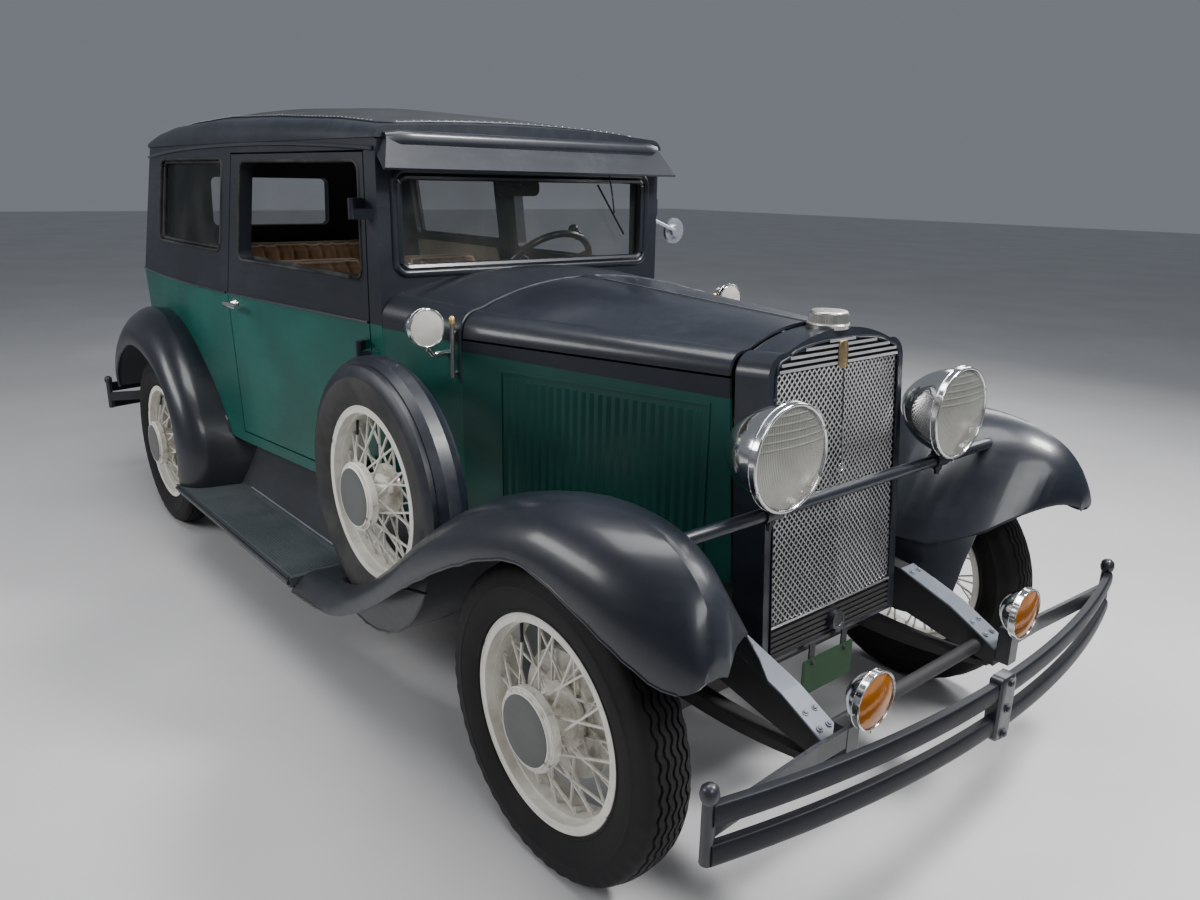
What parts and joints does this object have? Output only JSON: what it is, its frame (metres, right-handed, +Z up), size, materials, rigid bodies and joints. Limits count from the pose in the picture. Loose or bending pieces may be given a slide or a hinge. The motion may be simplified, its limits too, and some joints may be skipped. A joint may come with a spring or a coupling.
{
  "type": "vintage car",
  "caption": "Late 1920s closed car with wire wheels, side-mounted spares, running boards, opening doors and bonnet, and steered front wheels.",
  "frame": {"origin": "on the floor, at the middle of the overall length and width", "axes": "+X forward, +Y to the car's left, +Z up"},
  "size_m": [4.41, 1.7202, 1.801],
  "materials": {
    "black_paint": "satin navy-black coach enamel, worn",
    "green_paint": "satin teal-green coach enamel",
    "roof_paint": "black enamel with a dark grey fabric insert",
    "cream_paint": "cream enamel",
    "tyre_rubber": "matt black",
    "board_rubber": "pebbled grey rubber",
    "nickel": "worn nickel plate",
    "guard_nickel": "plated perforated sheet",
    "strap_metal": "satin blue-grey enamel",
    "chassis_paint": "dusty black",
    "iron": "painted casting",
    "exhaust_steel": "heat-stained steel",
    "clear_glass": "clear sheet glass",
    "seat_cloth": "brown velour",
    "floor_wood": "dark boards",
    "wheel_rim_black": "black moulded rim"
  },
  "bodies": {
    "root": {"chassis_frame": "chassis_paint", "front_axle": "chassis_paint", "rear_axle": "chassis_paint", "leaf_springs": "chassis_paint", "engine_block": "iron", "exhaust": "exhaust_steel", "fuel_tank": "chassis_paint", "radiator_shell": "black_paint", "stone_guard": "guard_nickel", "radiator_cap": "nickel", "cowl": "green_paint", "body_shell": "green_paint", "roof": "roof_paint", "floor": "floor_wood", "seats": "seat_cloth", "window_glass": "clear_glass", "front_fenders": "black_paint", "rear_fenders": "black_paint", "running_boards": "board_rubber", "headlamps": "nickel", "small_lamps": "nickel", "lamp_bar": "black_paint", "bumpers": "black_paint", "horn_straps": "strap_metal", "steering_column": "chassis_paint", "mirror": "nickel", "bonnet_sides": "green_paint", "spare_wheels": "cream_paint", "spare_tyres": "tyre_rubber"},
    "door_left": {"door_left": "green_paint"},
    "door_right": {"door_right": "green_paint"},
    "bonnet_left": {"bonnet_left": "black_paint"},
    "bonnet_right": {"bonnet_right": "black_paint"},
    "knuckle_left": {"knuckle_left": "chassis_paint"},
    "knuckle_right": {"knuckle_right": "chassis_paint"},
    "tie_rod": {"tie_rod": "chassis_paint"},
    "steering_wheel": {"steering_wheel": "wheel_rim_black"},
    "front_left_wheel": {"wheel_front_left": "cream_paint", "tyre_front_left": "tyre_rubber"},
    "front_right_wheel": {"wheel_front_right": "cream_paint", "tyre_front_right": "tyre_rubber"},
    "rear_left_wheel": {"wheel_rear_left": "cream_paint", "tyre_rear_left": "tyre_rubber"},
    "rear_right_wheel": {"wheel_rear_right": "cream_paint", "tyre_rear_right": "tyre_rubber"}
  },
  "joints": [
    {"name": "door_left_hinge", "type": "hinge", "parent": "root", "child": "door_left", "pos_m": [0.397, 0.60701, 1.02], "axis": [0, 0, -1], "range_deg": [0, 50]},
    {"name": "door_right_hinge", "type": "hinge", "parent": "root", "child": "door_right", "pos_m": [0.397, -0.60701, 1.02], "axis": [0, 0, 1], "range_deg": [0, 50]},
    {"name": "bonnet_left_hinge", "type": "hinge", "parent": "root", "child": "bonnet_left", "pos_m": [1.2, 0, 1.22666], "axis": [0.9991, 0, -0.0435], "range_deg": [0, 60]},
    {"name": "bonnet_right_hinge", "type": "hinge", "parent": "root", "child": "bonnet_right", "pos_m": [1.2, 0, 1.22666], "axis": [-0.9991, 0, 0.0435], "range_deg": [0, 60]},
    {"name": "steer_left", "type": "hinge", "parent": "root", "child": "knuckle_left", "pos_m": [1.55, 0.612, 0.372], "axis": [0, 0, 1], "range_deg": [-30, 30]},
    {"name": "steer_right", "type": "hinge", "parent": "root", "child": "knuckle_right", "pos_m": [1.55, -0.612, 0.372], "axis": [0, 0, 1], "range_deg": [-30, 30]},
    {"name": "tie_rod_pin", "type": "hinge", "parent": "knuckle_left", "child": "tie_rod", "pos_m": [1.4, 0.612, 0.284], "axis": [0, 0, 1], "range_deg": [-30, 30]},
    {"name": "steering_wheel_turn", "type": "hinge", "parent": "root", "child": "steering_wheel", "pos_m": [0.118, 0.305, 1.191], "axis": [-0.788, 0, 0.6157], "range_deg": [-390, 390]},
    {"name": "front_left_wheel_spin", "type": "hinge", "parent": "knuckle_left", "child": "front_left_wheel", "pos_m": [1.55, 0.714, 0.372], "axis": [0, 1, 0], "continuous": true},
    {"name": "front_right_wheel_spin", "type": "hinge", "parent": "knuckle_right", "child": "front_right_wheel", "pos_m": [1.55, -0.714, 0.372], "axis": [0, 1, 0], "continuous": true},
    {"name": "rear_left_wheel_spin", "type": "hinge", "parent": "root", "child": "rear_left_wheel", "pos_m": [-1.3, 0.714, 0.372], "axis": [0, 1, 0], "continuous": true},
    {"name": "rear_right_wheel_spin", "type": "hinge", "parent": "root", "child": "rear_right_wheel", "pos_m": [-1.3, -0.714, 0.372], "axis": [0, 1, 0], "continuous": true}
  ],
  "couplings": [
    {"joint": "steer_right", "follows": "steer_left", "ratio": 1},
    {"joint": "tie_rod_pin", "follows": "steer_left", "ratio": -1},
    {"joint": "steering_wheel_turn", "follows": "steer_left", "ratio": 13}
  ]
}
